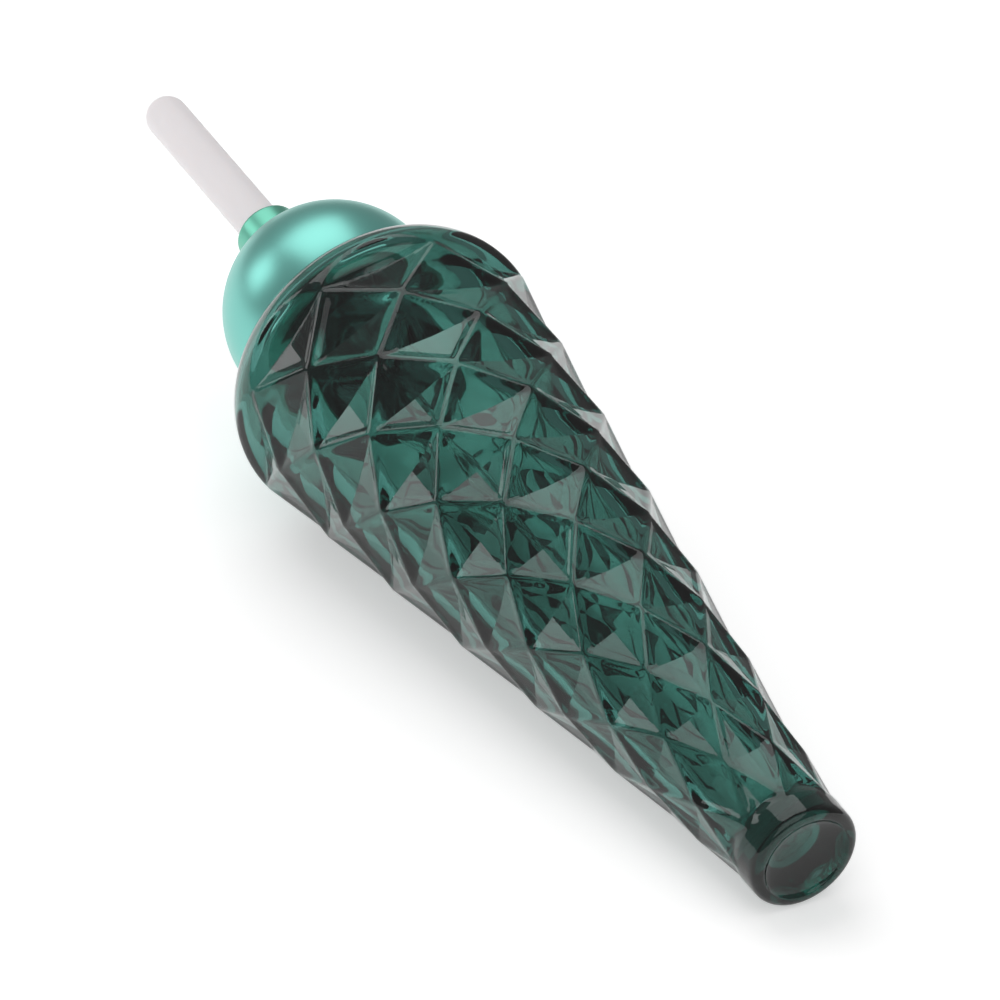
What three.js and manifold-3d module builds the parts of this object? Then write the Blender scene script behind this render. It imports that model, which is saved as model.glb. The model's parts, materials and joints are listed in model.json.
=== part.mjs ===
// Dropper bottle: a faceted cone of thick green glass that lies on its side, closed by an anodised
// ball cap on a screw thread, with a long silicone bulb and a glass pipette held in the cap.
//
// Every piece is built along the bottle's own axis, +Z from the foot to the tip of the bulb.
// The last section lays the assembled bottle down on its facets and its foot.

import * as THREE from "three";
import { mergeVertices } from "three/addons/utils/BufferGeometryUtils.js";
import Module from "manifold-3d";

const wasm = await Module();
wasm.setup();

// ---------------------------------------------------------------- driving dimensions, millimetres

const GAP = 0.3; // room between pieces that touch
const RUNNING_GAP = 0.4; // room between pieces that slide or turn on each other

// Facets of the glass: rings of raised nodes, each ring turned half a cell from the last
const CELLS = 8; // diamonds in one turn
const RING_COUNT = 14; // rings of nodes, from the shoulder down to the foot
const RING_GROWTH = 0.11; // the drop grows down the cone
const FIRST_RING_HEIGHT = 145.0; // first ring above the foot
const LAST_RING_HEIGHT = 5.51; // last ring, just inside the foot's band
const NODE_RADIUS = 30.0; // nodes of the first ring
const LAST_NODE_RADIUS = 9.704; // nodes of the last ring
const FACET_HOLLOW = 0.4; // centre of a diamond, below the chord of its side nodes

// Shoulder, wall and foot of the glass
const SHOULDER_ROUND = 11.6;
const SHOULDER_PROUD = 0.1; // smooth crown beyond the nodes
const SHOULDER_RISE = 2.6; // widest part of the crown above the first ring
const WALL = 2.4; // thinnest glass, behind the centre of a diamond
const SHOULDER_WALL = 3.0;
const FOOT_RADIUS = 10.1;
const FOOT_BAND = 5.0;
const HEEL_ROUND = 1.2;
const PUSH_UP_RADIUS = 7.4;
const PUSH_UP = 1.6;
const BASE_THICKNESS = 7.4;

// Screw neck
const NECK_RADIUS = 9.0;
const NECK_BORE = 6.6;
const NECK_HEIGHT = 14.0;
const THREAD_DEPTH = 1.0;
const THREAD_PITCH = 3.0;
const THREAD_TURNS = 1.5;
const THREAD_ROOT = 1.3; // width of the thread where it leaves the wall
const THREAD_CREST = 0.6;
const THREAD_START = 3.8; // middle of the thread's first turn above the shoulder
const THREAD_BITE = 0.55; // how deep the cap's thread reaches into the neck's
const THREAD_SUNK = 0.5; // root of the thread inside the wall that it stands on
const THREAD_FADE = 0.12; // share of a turn in which the thread fades out at each end
const THREAD_END = 0.02; // share of its height left where it ends
const THREAD_STEPS = 20; // pieces of one turn

// Ball cap
const BALL_RADIUS = 20.7;
const BALL_WALL = 0.9;
const BALL_CENTRE_RISE = 9.8; // ball centre above the top of the shoulder
const LINER_WALL = 1.5;
const SLEEVE_WALL = 1.4;
const CAP_WALL = 2.0;
const CAP_TOP = 1.6;
const CAP_CLEARANCE = 1.2; // lower rim of the threaded cap above the shoulder
const BASE_PLATE = 1.8;
const PLATE_INSET = 0.1; // plate above the lower edge of the shell
const COLLAR_RADIUS = 6.2;
const COLLAR_STAND = 7.2; // collar above the pole of the ball
const COLLAR_ROUND = 0.7;
const COLLAR_SEAT = 5.8; // collar's lower end below the pole of the ball

// Dropper
const BULB_RADIUS = 4.17;
const BULB_WALL = 1.55;
const BULB_STAND = 46.0; // bulb above the collar
const BOOT_WALL = 1.85;
const FLANGE_RADIUS = 8.6;
const FLANGE_THICKNESS = 1.5;
const PIPETTE_RADIUS = 3.2;
const PIPETTE_WALL = 1.0;
const PIPETTE_BEAD = 0.25;
const PIPETTE_GRIP = 3.6; // length held in the boot of the bulb, above the flange
const PIPETTE_DEPTH = 84.0; // tip below the top of the neck
const PIPETTE_TIP_LENGTH = 14.0;
const PIPETTE_TIP_RADIUS = 1.5;
const PIPETTE_TIP_WALL = 0.75;
const WASHER_THICKNESS = 1.1;
const WIPER_FLANGE = 0.8;
const WIPER_WALL = 0.9;
const WIPER_DEPTH = 8.0;

const ROUND_SEGMENTS = 40; // sides of a turned piece

// ---------------------------------------------------------------- places worked out from the sizes

const HALF_CELL = Math.PI / CELLS;
const LAST_RING = RING_COUNT - 1;
const CONE_HEIGHT = FIRST_RING_HEIGHT - LAST_RING_HEIGHT;
const RING_STEP = CONE_HEIGHT / LAST_RING - RING_GROWTH * LAST_RING;
const TAPER = (NODE_RADIUS - LAST_NODE_RADIUS) / CONE_HEIGHT;
const SHOULDER_TOP = FIRST_RING_HEIGHT + SHOULDER_RISE + SHOULDER_ROUND;
const SHOULDER_CENTRE_RADIUS = NODE_RADIUS + SHOULDER_PROUD - SHOULDER_ROUND;
const NECK_TOP = SHOULDER_TOP + NECK_HEIGHT;
const BALL_CENTRE = SHOULDER_TOP + BALL_CENTRE_RISE;
const BALL_BOTTOM = SHOULDER_TOP + RUNNING_GAP;
const BALL_POLE = BALL_CENTRE + BALL_RADIUS;
const BALL_INNER = BALL_RADIUS - BALL_WALL;
const CAP_BORE = NECK_RADIUS + THREAD_DEPTH + RUNNING_GAP;
const CAP_RADIUS = CAP_BORE + CAP_WALL;
const CAP_BOTTOM = SHOULDER_TOP + CAP_CLEARANCE;
const WIPER_TOP = NECK_TOP + GAP + WIPER_FLANGE;
const WASHER_TOP = WIPER_TOP + GAP + WASHER_THICKNESS;
const FLANGE_TOP = WASHER_TOP + GAP + FLANGE_THICKNESS;
const CAP_CEILING = FLANGE_TOP + GAP;
const CAP_ROOF = CAP_CEILING + CAP_TOP;
const LINER_OUTER = BALL_INNER - GAP;
const LINER_INNER = LINER_OUTER - LINER_WALL;
const SLEEVE_INNER = CAP_RADIUS + GAP;
const SLEEVE_OUTER = SLEEVE_INNER + SLEEVE_WALL;
const PLATE_BOTTOM = BALL_BOTTOM + PLATE_INSET;
const PLATE_TOP = PLATE_BOTTOM + BASE_PLATE;
const LINER_BOTTOM = PLATE_TOP + GAP;
const COLLAR_BOTTOM = BALL_POLE - COLLAR_SEAT;
const COLLAR_TOP = BALL_POLE + COLLAR_STAND;
const COLLAR_BORE = BULB_RADIUS + GAP;
const BULB_TIP_CENTRE = COLLAR_TOP + BULB_STAND - BULB_RADIUS;
const PIPETTE_TOP = FLANGE_TOP + PIPETTE_GRIP;
const BOOT_BORE = PIPETTE_RADIUS + PIPETTE_BEAD + GAP;
const BOOT_RADIUS = BOOT_BORE + BOOT_WALL;
const BOOT_HOLE = BOOT_RADIUS + GAP;

// ---------------------------------------------------------------- shape helpers

// A closed geometry as a manifold-3d solid: shared vertices merged, collapsed triangles dropped.
function solid(geometry) {
  const bare = geometry.clone();
  bare.deleteAttribute("normal");
  bare.deleteAttribute("uv");
  const merged = mergeVertices(bare, 1e-4);
  const index = merged.index.array;
  const kept = [];
  for (let i = 0; i < index.length; i += 3) {
    const [a, b, c] = [index[i], index[i + 1], index[i + 2]];
    if (a !== b && b !== c && c !== a) kept.push(a, b, c);
  }
  return new wasm.Manifold(
    new wasm.Mesh({
      numProp: 3,
      vertProperties: new Float32Array(merged.attributes.position.array),
      triVerts: new Uint32Array(kept),
    }),
  );
}

// A manifold-3d solid back as a geometry with flat faces.
function geometryOf(shape) {
  const mesh = shape.getMesh();
  const geometry = new THREE.BufferGeometry();
  const points = new Float32Array(mesh.vertProperties);
  geometry.setAttribute("position", new THREE.BufferAttribute(points, 3));
  geometry.setIndex(new THREE.BufferAttribute(new Uint32Array(mesh.triVerts), 1));
  return geometry;
}

// Points of an arc from one angle to another, in degrees from the outward direction.
function arc(middleR, middleZ, acrossRadius, from, to, steps, upRadius = acrossRadius) {
  const points = [];
  for (let i = 0; i <= steps; i++) {
    const angle = THREE.MathUtils.degToRad(from + ((to - from) * i) / steps);
    points.push([middleR + acrossRadius * Math.cos(angle), middleZ + upRadius * Math.sin(angle)]);
  }
  return points;
}

// Angle, in degrees, at which a circle of the given radius passes the given height or half width.
const angleAtHeight = (height, radius) => THREE.MathUtils.radToDeg(Math.asin(height / radius));
const angleAtWidth = (width, radius) => THREE.MathUtils.radToDeg(Math.acos(width / radius));

// A turned solid from [radius, height] points that run round its section.
function turned(points, segments = ROUND_SEGMENTS) {
  let area = 0;
  points.forEach(([r, z], i) => {
    const [nextR, nextZ] = points[(i + 1) % points.length];
    area += r * nextZ - nextR * z;
  });
  const ordered = area > 0 ? points.slice() : points.slice().reverse();
  const onAxis = ordered.filter(([r]) => r === 0).length;
  if (onAxis === 0) {
    ordered.push(ordered[0]);
  } else {
    while (ordered[0][0] !== 0 || ordered[ordered.length - 1][0] !== 0) ordered.push(ordered.shift());
  }
  const outline = ordered.map(([r, z]) => new THREE.Vector2(r, z));
  return solid(new THREE.LatheGeometry(outline, segments).rotateX(Math.PI / 2));
}

// A helical ridge of trapezoid section that fades out at both ends.
function helix({ wallRadius, crestRadius, start, turns, pitch }) {
  const rooted = wallRadius + Math.sign(wallRadius - crestRadius) * THREAD_SUNK;
  const steps = Math.round(THREAD_STEPS * turns);
  const points = [];
  for (let i = 0; i <= steps; i++) {
    const turn = (turns * i) / steps;
    const fromEnd = Math.min(turn, turns - turn);
    const height = Math.min(1, fromEnd / THREAD_FADE + THREAD_END);
    const crest = wallRadius + (crestRadius - wallRadius) * height;
    const angle = turn * 2 * Math.PI;
    const middle = start + turn * pitch;
    const section = [
      [rooted, -THREAD_ROOT / 2],
      [crest, -THREAD_CREST / 2],
      [crest, THREAD_CREST / 2],
      [rooted, THREAD_ROOT / 2],
    ];
    section.forEach(([r, z]) => points.push(r * Math.cos(angle), r * Math.sin(angle), middle + z));
  }
  const faces = [0, 1, 2, 0, 2, 3];
  for (let i = 0; i < steps; i++) {
    for (let side = 0; side < 4; side++) {
      const a = i * 4 + side;
      const b = i * 4 + ((side + 1) % 4);
      faces.push(a, a + 4, b, b, a + 4, b + 4);
    }
  }
  const last = steps * 4;
  faces.push(last, last + 2, last + 1, last, last + 3, last + 2);
  const outwards = crestRadius > wallRadius ? faces : faces.slice().reverse();
  const geometry = new THREE.BufferGeometry();
  geometry.setAttribute("position", new THREE.Float32BufferAttribute(points, 3));
  geometry.setIndex(outwards);
  return solid(geometry);
}

// ---------------------------------------------------------------- glass bottle

const ringHeight = (ring) => FIRST_RING_HEIGHT - RING_STEP * ring - RING_GROWTH * ring * ring;
const nodeRadius = (height) => NODE_RADIUS - TAPER * (FIRST_RING_HEIGHT - height);
const centreRadius = (height) => nodeRadius(height) * Math.cos(HALF_CELL) - FACET_HOLLOW;
const cavityRadius = (height) => centreRadius(height) - WALL;

// The bottle lies on a node of each of the first two rings and on its foot. This halves the range of
// the turn from the first ring's node until all three touch, and gives that turn and the slope.
function restingLine() {
  const drop = FIRST_RING_HEIGHT - ringHeight(1);
  const slopeAt = (turn) => (NODE_RADIUS * Math.cos(turn) - FOOT_RADIUS) / (FIRST_RING_HEIGHT - HEEL_ROUND);
  let [low, high] = [0, HALF_CELL];
  for (let i = 0; i < 40; i++) {
    const turn = (low + high) / 2;
    const line = NODE_RADIUS * Math.cos(turn) - slopeAt(turn) * drop;
    if (nodeRadius(ringHeight(1)) * Math.cos(HALF_CELL - turn) < line) low = turn;
    else high = turn;
  }
  return { turn: low, slope: slopeAt(low) };
}
const resting = restingLine();
const FIRST_NODE_ANGLE = Math.PI / 2 + resting.turn;

// The cone of diamonds. Each ring has a node and a hollow centre by turns.
function facetCone() {
  const around = 2 * CELLS;
  const points = [];
  const ring = (height, radiusAt, offset) => {
    for (let i = 0; i < around; i++) {
      const angle = FIRST_NODE_ANGLE + i * HALF_CELL;
      const radius = radiusAt((i + offset) % 2 === 0, height);
      points.push(radius * Math.cos(angle), radius * Math.sin(angle), height);
    }
  };
  const inside = SHOULDER_CENTRE_RADIUS;
  ring(FIRST_RING_HEIGHT + SHOULDER_RISE, () => inside, 0);
  for (let k = 0; k < RING_COUNT; k++) {
    ring(ringHeight(k), (isNode, z) => (isNode ? nodeRadius(z) : centreRadius(z)), k);
  }
  const rows = RING_COUNT + 1;
  const faces = [];
  for (let row = 0; row + 1 < rows; row++) {
    for (let i = 0; i < around; i++) {
      const a = row * around + i;
      const b = row * around + ((i + 1) % around);
      const [c, d] = [a + around, b + around];
      // The edge across each pair of faces joins node to node.
      if ((i + row) % 2 === 0) faces.push(a, c, b, b, c, d);
      else faces.push(a, c, d, a, d, b);
    }
  }
  const top = points.length / 3;
  points.push(0, 0, FIRST_RING_HEIGHT + SHOULDER_RISE);
  points.push(0, 0, ringHeight(RING_COUNT - 1));
  for (let i = 0; i < around; i++) {
    const next = (i + 1) % around;
    faces.push(top, i, next);
    faces.push(top + 1, (rows - 1) * around + next, (rows - 1) * around + i);
  }
  const geometry = new THREE.BufferGeometry();
  geometry.setAttribute("position", new THREE.Float32BufferAttribute(points, 3));
  geometry.setIndex(faces);
  return solid(geometry);
}

function glassBottle() {
  const shoulderFrom = angleAtHeight(-SHOULDER_RISE, SHOULDER_ROUND);
  const crownCentre = FIRST_RING_HEIGHT + SHOULDER_RISE;
  const shoulder = turned([
    [0, FIRST_RING_HEIGHT],
    ...arc(SHOULDER_CENTRE_RADIUS, crownCentre, SHOULDER_ROUND, shoulderFrom, 90, 9),
    [NECK_RADIUS, SHOULDER_TOP],
    [NECK_RADIUS, NECK_TOP],
    [0, NECK_TOP],
  ]);
  const foot = turned([
    [0, 0],
    ...arc(FOOT_RADIUS - HEEL_ROUND, HEEL_ROUND, HEEL_ROUND, -90, 0, 3),
    ...arc(FOOT_RADIUS - HEEL_ROUND, FOOT_BAND, HEEL_ROUND, 0, 60, 2),
    [0, FOOT_BAND + 2 * HEEL_ROUND],
  ]);
  const thread = helix({
    wallRadius: NECK_RADIUS,
    crestRadius: NECK_RADIUS + THREAD_DEPTH,
    start: SHOULDER_TOP + THREAD_START,
    turns: THREAD_TURNS,
    pitch: THREAD_PITCH,
  });
  const floor = PUSH_UP + BASE_THICKNESS;
  const innerRound = cavityRadius(FIRST_RING_HEIGHT) - SHOULDER_CENTRE_RADIUS;
  const innerRise = SHOULDER_RISE + SHOULDER_ROUND - SHOULDER_WALL;
  const cavity = turned([
    [0, floor],
    [cavityRadius(floor) - HEEL_ROUND, floor],
    [cavityRadius(floor + HEEL_ROUND), floor + HEEL_ROUND],
    ...arc(SHOULDER_CENTRE_RADIUS, FIRST_RING_HEIGHT, innerRound, 0, 90, 7, innerRise),
    [NECK_BORE + SHOULDER_WALL, FIRST_RING_HEIGHT + innerRise],
    [NECK_BORE, FIRST_RING_HEIGHT + innerRise + SHOULDER_WALL],
    [NECK_BORE, NECK_TOP + 1],
    [0, NECK_TOP + 1],
  ]);
  const pushUp = turned([
    [0, -1],
    [PUSH_UP_RADIUS, -1],
    ...arc(0, 0, PUSH_UP_RADIUS, 0, 90, 5, PUSH_UP).slice(0, -1),
    [0, PUSH_UP],
  ]);
  return facetCone().add(shoulder).add(foot).add(thread).subtract(cavity).subtract(pushUp);
}

// ---------------------------------------------------------------- ball cap

// The shell is a hollow ball, cut flat below and bored above for the collar.
function ballShell() {
  const cut = BALL_BOTTOM - BALL_CENTRE;
  const bore = COLLAR_RADIUS + GAP;
  return turned([
    ...arc(0, BALL_CENTRE, BALL_RADIUS, angleAtHeight(cut, BALL_RADIUS), angleAtWidth(bore, BALL_RADIUS), 11),
    ...arc(0, BALL_CENTRE, BALL_INNER, angleAtWidth(bore, BALL_INNER), angleAtHeight(cut, BALL_INNER), 9),
  ]);
}

// The liner backs the shell, and its sleeve grips the threaded cap.
function ballLiner() {
  const cut = LINER_BOTTOM - BALL_CENTRE;
  const bore = COLLAR_RADIUS + GAP;
  const outerFrom = angleAtHeight(cut, LINER_OUTER);
  const innerTo = angleAtHeight(cut, LINER_INNER);
  return turned([
    ...arc(0, BALL_CENTRE, LINER_OUTER, outerFrom, angleAtWidth(bore, LINER_OUTER), 7),
    [bore, COLLAR_BOTTOM - GAP],
    [BOOT_HOLE, COLLAR_BOTTOM - GAP],
    [BOOT_HOLE, CAP_ROOF + GAP],
    [SLEEVE_INNER, CAP_ROOF + GAP],
    [SLEEVE_INNER, LINER_BOTTOM],
    [SLEEVE_OUTER, LINER_BOTTOM],
    ...arc(0, BALL_CENTRE, LINER_INNER, angleAtWidth(SLEEVE_OUTER, LINER_INNER), innerTo, 6),
  ]);
}

function basePlate() {
  const edge = Math.sqrt(BALL_INNER ** 2 - (PLATE_BOTTOM - BALL_CENTRE) ** 2) - GAP;
  return turned([
    [SLEEVE_INNER, PLATE_BOTTOM],
    [edge, PLATE_BOTTOM],
    [edge, PLATE_TOP],
    [SLEEVE_INNER, PLATE_TOP],
  ]);
}

// The threaded cap. Its thread lies half a pitch below the neck's, so the two never meet.
function innerCap() {
  const body = turned([
    [CAP_BORE, CAP_BOTTOM],
    [CAP_RADIUS, CAP_BOTTOM],
    [CAP_RADIUS, CAP_ROOF],
    [BOOT_HOLE, CAP_ROOF],
    [BOOT_HOLE, CAP_CEILING],
    [CAP_BORE, CAP_CEILING],
  ]);
  const thread = helix({
    wallRadius: CAP_BORE,
    crestRadius: NECK_RADIUS + THREAD_DEPTH - THREAD_BITE,
    start: SHOULDER_TOP + THREAD_START - THREAD_PITCH / 2,
    turns: THREAD_TURNS,
    pitch: THREAD_PITCH,
  });
  return body.add(thread);
}

function collarRing() {
  return turned([
    [COLLAR_BORE, COLLAR_BOTTOM],
    [COLLAR_RADIUS, COLLAR_BOTTOM],
    ...arc(COLLAR_RADIUS - COLLAR_ROUND, COLLAR_TOP - COLLAR_ROUND, COLLAR_ROUND, 0, 90, 3),
    [COLLAR_BORE, COLLAR_TOP],
  ]);
}

// ---------------------------------------------------------------- dropper

// The bulb: a flange clamped under the cap's roof, a wide boot for the pipette, then the long finger.
function rubberBulb() {
  const bore = BULB_RADIUS - BULB_WALL;
  const fingerBottom = COLLAR_BOTTOM - GAP;
  const bootTop = Math.min(PIPETTE_TOP + GAP, fingerBottom - BOOT_WALL);
  return turned(
    [
      [BOOT_BORE, WASHER_TOP + GAP],
      [FLANGE_RADIUS, WASHER_TOP + GAP],
      [FLANGE_RADIUS, FLANGE_TOP],
      [BOOT_RADIUS, FLANGE_TOP],
      [BOOT_RADIUS, bootTop],
      [BULB_RADIUS, fingerBottom],
      ...arc(0, BULB_TIP_CENTRE, BULB_RADIUS, 0, 90, 6).slice(0, -1),
      [0, BULB_TIP_CENTRE + BULB_RADIUS],
      [0, BULB_TIP_CENTRE + bore],
      ...arc(0, BULB_TIP_CENTRE, bore, 90, 0, 5).slice(1),
      [bore, PIPETTE_TOP + GAP + PIPETTE_WALL],
      [BOOT_BORE, PIPETTE_TOP + GAP],
    ],
    24,
  );
}

function pipette() {
  const tip = NECK_TOP - PIPETTE_DEPTH;
  const bore = PIPETTE_RADIUS - PIPETTE_WALL;
  const beadBottom = PIPETTE_TOP - 3 * PIPETTE_BEAD;
  return turned(
    [
      [PIPETTE_TIP_RADIUS - PIPETTE_TIP_WALL, tip],
      [PIPETTE_TIP_RADIUS, tip],
      [PIPETTE_RADIUS, tip + PIPETTE_TIP_LENGTH],
      [PIPETTE_RADIUS, beadBottom],
      [PIPETTE_RADIUS + PIPETTE_BEAD, beadBottom + PIPETTE_BEAD],
      [PIPETTE_RADIUS + PIPETTE_BEAD, PIPETTE_TOP],
      [bore, PIPETTE_TOP],
      [bore, tip + PIPETTE_TIP_LENGTH],
    ],
    24,
  );
}

function sealingWasher() {
  return turned(
    [
      [PIPETTE_RADIUS + RUNNING_GAP, WIPER_TOP + GAP],
      [NECK_RADIUS, WIPER_TOP + GAP],
      [NECK_RADIUS, WASHER_TOP],
      [PIPETTE_RADIUS + RUNNING_GAP, WASHER_TOP],
    ],
    24,
  );
}

// The wiper plugs the neck and strips the pipette as it comes out.
function neckWiper() {
  const plug = NECK_BORE - GAP;
  const lip = PIPETTE_RADIUS + RUNNING_GAP;
  const bottom = NECK_TOP - WIPER_DEPTH;
  return turned(
    [
      [NECK_RADIUS - GAP, NECK_TOP + GAP],
      [NECK_RADIUS - GAP, WIPER_TOP],
      [plug - WIPER_WALL, WIPER_TOP],
      [plug - WIPER_WALL, bottom + WIPER_WALL],
      [lip, bottom + WIPER_WALL],
      [lip, bottom],
      [plug, bottom],
      [plug, NECK_TOP + GAP],
    ],
    24,
  );
}

// ---------------------------------------------------------------- materials

const finish = (color, roughness, metalness, extra = {}) =>
  new THREE.MeshStandardMaterial({ color, roughness, metalness, ...extra });

const greenGlass = finish(0x2f6b58, 0.05, 0, { transparent: true, opacity: 0.7 });
const clearGlass = finish(0xdfe9e6, 0.05, 0, { transparent: true, opacity: 0.5 });
const tealAnodised = finish(0x6fc2b6, 0.32, 1);
const greenAnodised = finish(0x5cb498, 0.3, 1);
const whiteSilicone = finish(0xede7e9, 0.6, 0);
const blackPlastic = finish(0x15171a, 0.45, 0);
const naturalPlastic = finish(0xe8e8e4, 0.5, 0);
const sealFoam = finish(0xd9d9d6, 0.8, 0);

// ---------------------------------------------------------------- assembly

const bottle = new THREE.Group();

function piece(name, shape, material) {
  const mesh = new THREE.Mesh(geometryOf(shape), material);
  mesh.name = name;
  bottle.add(mesh);
}

piece("glass_bottle", glassBottle(), greenGlass);
piece("neck_wiper", neckWiper(), naturalPlastic);
piece("ball_shell", ballShell(), tealAnodised);
piece("ball_liner", ballLiner(), blackPlastic);
piece("ball_base_plate", basePlate(), blackPlastic);
piece("inner_cap", innerCap(), blackPlastic);
piece("collar_ring", collarRing(), greenAnodised);
piece("rubber_bulb", rubberBulb(), whiteSilicone);
piece("pipette", pipette(), clearGlass);
piece("sealing_washer", sealingWasher(), sealFoam);

// Lay the bottle down: its axis rises from the foot by the resting angle, foot towards -Y.
bottle.rotation.x = Math.atan(resting.slope) - Math.PI / 2;
const dropperBottle = new THREE.Group();
dropperBottle.add(bottle);
const extent = new THREE.Box3().setFromObject(dropperBottle, true);
const middle = extent.getCenter(new THREE.Vector3());
bottle.position.set(-middle.x, -middle.y, -extent.min.z);

export default dropperBottle;
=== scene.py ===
"""Faceted glass dropper bottle, lying on a pale table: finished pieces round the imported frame."""

import json
import logging
import math
from dataclasses import dataclass
from enum import Enum
from typing import Iterable, Sequence

import bpy
import numpy as np
from mathutils import Matrix, Vector


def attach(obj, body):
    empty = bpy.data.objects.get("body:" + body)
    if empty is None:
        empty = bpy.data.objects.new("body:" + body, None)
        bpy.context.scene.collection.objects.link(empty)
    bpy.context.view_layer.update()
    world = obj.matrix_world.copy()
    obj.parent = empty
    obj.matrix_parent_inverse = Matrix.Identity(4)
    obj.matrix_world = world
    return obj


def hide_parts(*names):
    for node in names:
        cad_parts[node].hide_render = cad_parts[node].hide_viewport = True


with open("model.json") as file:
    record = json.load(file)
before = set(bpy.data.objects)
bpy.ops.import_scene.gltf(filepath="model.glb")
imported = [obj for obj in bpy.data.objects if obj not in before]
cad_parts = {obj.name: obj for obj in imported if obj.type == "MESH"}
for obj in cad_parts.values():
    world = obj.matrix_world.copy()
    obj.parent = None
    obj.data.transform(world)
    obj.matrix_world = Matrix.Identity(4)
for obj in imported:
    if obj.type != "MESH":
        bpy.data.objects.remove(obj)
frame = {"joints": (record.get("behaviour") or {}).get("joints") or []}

LOG = logging.getLogger("dropper_bottle")
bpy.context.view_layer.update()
MM = 0.001
TURN = 2 * math.pi
SOFT_EDGE = 0.12 * MM

Point = tuple[float, float]
Colour = tuple[float, float, float]


# -------------------- shader maths


class Socket:
    """A node socket that can be added, subtracted and multiplied."""

    def __init__(self, sheet: "NodeSheet", source: bpy.types.NodeSocket) -> None:
        """Wraps one output socket of a sheet."""
        self.sheet = sheet
        self.source = source

    def _maths(self, operation: str, *values: object) -> "Socket":
        """Adds a Math node and returns its result."""
        return self.sheet.node("ShaderNodeMath", {"operation": operation}, dict(enumerate(values)))

    def __add__(self, other: object) -> "Socket":
        """self + other."""
        return self._maths("ADD", self, other)

    __radd__ = __add__

    def __sub__(self, other: object) -> "Socket":
        """self - other."""
        return self._maths("SUBTRACT", self, other)

    def __rsub__(self, other: object) -> "Socket":
        """other - self."""
        return self._maths("SUBTRACT", other, self)

    def __mul__(self, other: object) -> "Socket":
        """self * other."""
        return self._maths("MULTIPLY", self, other)

    __rmul__ = __mul__


class NodeSheet:
    """The node tree of one material, with the shader it ends in."""

    MIX_AMOUNT, MIX_LOW, MIX_HIGH = 0, 6, 7
    MIX_COLOUR = 2

    def __init__(self, name: str) -> None:
        """Makes an empty material whose output waits for a shader.

        Args:
            name: the material's name.
        """
        self.material = bpy.data.materials.new(name)
        self.material.use_nodes = True
        self.tree = self.material.node_tree
        self.tree.nodes.clear()
        self.output = self.tree.nodes.new("ShaderNodeOutputMaterial")

    def node(self, kind: str, settings: dict, inputs: dict, output: int | str = 0) -> Socket:
        """Adds a node.

        Args:
            kind: the node's type.
            settings: attributes, which are set first.
            inputs: values or sockets, by the input's name or number.
            output: the output to hand back.

        Returns:
            The chosen output, wrapped.
        """
        made = self.tree.nodes.new(kind)
        for name, value in settings.items():
            setattr(made, name, value)
        for name, value in inputs.items():
            if isinstance(value, Socket):
                self.tree.links.new(value.source, made.inputs[name])
            else:
                made.inputs[name].default_value = value
        return Socket(self, made.outputs[output])

    def place(self) -> Socket:
        """Object coordinates."""
        return self.node("ShaderNodeTexCoord", {}, {}, "Object")

    def noise(self, place: Socket, scale: float, detail: float = 2.0, rough: float = 0.5) -> Socket:
        """Noise from 0 to 1 at a scale in waves per metre."""
        values = {"Vector": place, "Scale": scale, "Detail": detail, "Roughness": rough}
        return self.node("ShaderNodeTexNoise", {}, values, "Fac")

    def blend(self, amount: Socket, low: Colour, high: Colour) -> Socket:
        """A colour between two, by an amount from 0 to 1."""
        values = {self.MIX_AMOUNT: amount, self.MIX_LOW: (*low, 1), self.MIX_HIGH: (*high, 1)}
        return self.node("ShaderNodeMix", {"data_type": "RGBA"}, values, self.MIX_COLOUR)

    def bump(self, height: Socket, strength: float, distance: float) -> Socket:
        """A bumped normal."""
        values = {"Height": height, "Strength": strength, "Distance": distance}
        return self.node("ShaderNodeBump", {}, values)

    def principled(self, inputs: dict, volume: Socket | None = None) -> bpy.types.Material:
        """Ends the sheet in a Principled shader.

        Args:
            inputs: the shader's values or sockets, by name.
            volume: what fills the piece, if anything does.

        Returns:
            The finished material.
        """
        shader = self.node("ShaderNodeBsdfPrincipled", {}, inputs)
        self.tree.links.new(shader.source, self.output.inputs["Surface"])
        if volume is not None:
            self.tree.links.new(volume.source, self.output.inputs["Volume"])
        return self.material


# -------------------- finishes


def shaded(colour: Colour, by: float, lift: float = 0.0) -> Colour:
    """A colour made darker or lighter by a factor and a lift."""
    return tuple(min(1.0, by * c + lift) for c in colour)


@dataclass(frozen=True)
class TintedGlass:
    """Clear or coloured glass that darkens with depth. Density and scale are per metre."""

    name: str
    tint: Colour
    depth_colour: Colour
    depth_density: float
    index: float = 1.5
    roughness: float = 0.0
    cloud_scale: float = 45.0
    cloud_detail: float = 1.5
    cloud_shade: float = 0.96

    def material(self) -> bpy.types.Material:
        """Builds the material.

        Returns:
            The glass, filled with a volume that absorbs.
        """
        sheet = NodeSheet(self.name)
        cloud = sheet.noise(sheet.place(), self.cloud_scale, self.cloud_detail)
        inputs = {
            "Base Color": sheet.blend(cloud, shaded(self.tint, self.cloud_shade), self.tint),
            "Roughness": self.roughness,
            "IOR": self.index,
            "Transmission Weight": 1.0,
        }
        values = {"Color": (*self.depth_colour, 1), "Density": self.depth_density}
        return sheet.principled(inputs, sheet.node("ShaderNodeVolumeAbsorption", {}, values))


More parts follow.
